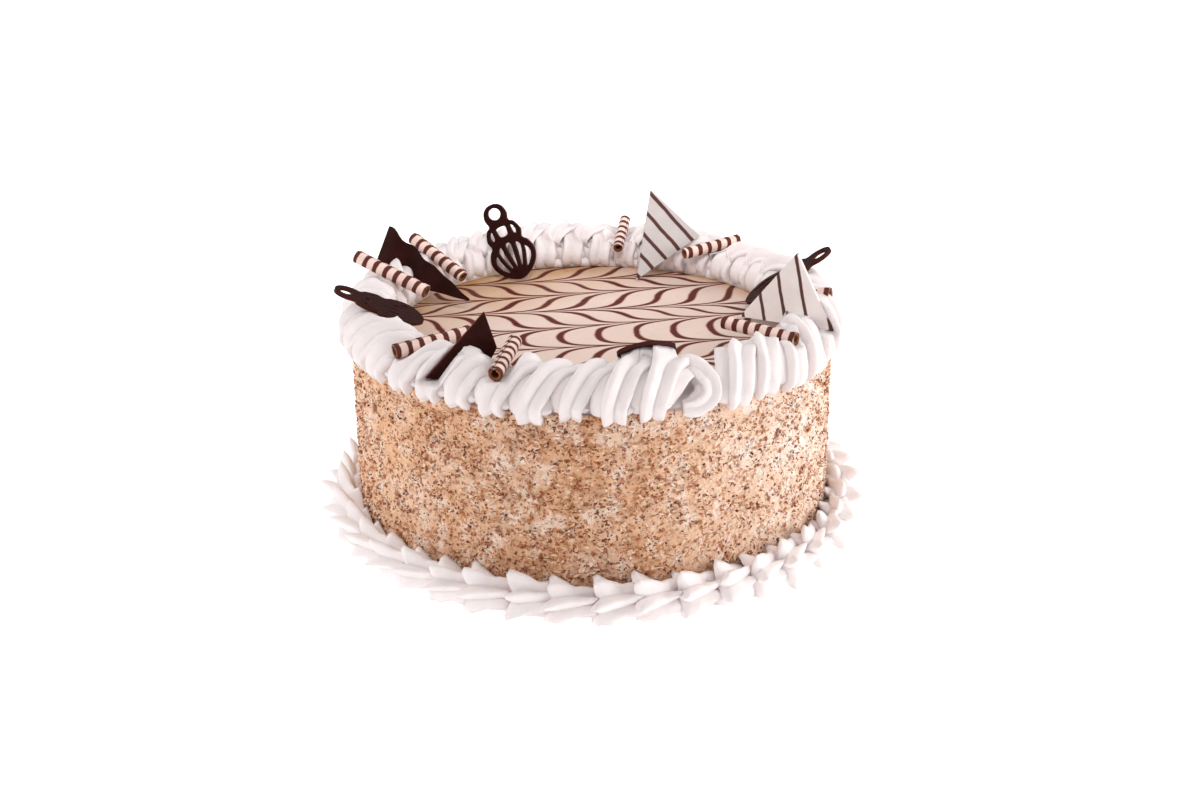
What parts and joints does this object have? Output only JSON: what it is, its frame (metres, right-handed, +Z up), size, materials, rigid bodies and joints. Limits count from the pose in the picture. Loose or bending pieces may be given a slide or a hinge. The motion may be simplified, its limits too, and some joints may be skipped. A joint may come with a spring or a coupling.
{
  "type": "esterhazy torte",
  "caption": "Round layer torte with feathered icing, nut-coated side, piped cream rings at rim and foot, wafer rolls and chocolate ornaments.",
  "frame": {"origin": "middle of the cake's flat bottom", "axes": "+Z up, -Y towards the side that the picture shows, +X to its right"},
  "size_m": [0.2762, 0.2763, 0.1434],
  "materials": {
    "nut_coat": "pale chopped nut coat with brown specks",
    "icing": "poured ivory icing with feathered chocolate lines",
    "whipped_cream": "soft matt whipped cream",
    "wafer": "striped chocolate wafer roll",
    "dark_chocolate": "satin dark chocolate",
    "white_chocolate": "satin white chocolate with dark stripes"
  },
  "bodies": {
    "root": {"cake_body": "nut_coat", "icing_disc": "icing", "top_cream": "whipped_cream", "base_cream": "whipped_cream", "roll_1": "wafer", "roll_2": "wafer", "roll_3": "wafer", "roll_4": "wafer", "roll_5": "wafer", "roll_6": "wafer", "roll_7": "wafer", "roll_8": "wafer", "dark_triangle": "dark_chocolate", "dark_wave": "dark_chocolate", "striped_triangle_back": "white_chocolate", "striped_triangle_right": "white_chocolate", "lattice_back_left": "dark_chocolate", "lattice_left": "dark_chocolate", "lattice_right": "dark_chocolate", "lattice_front": "dark_chocolate"}
  },
  "joints": []
}
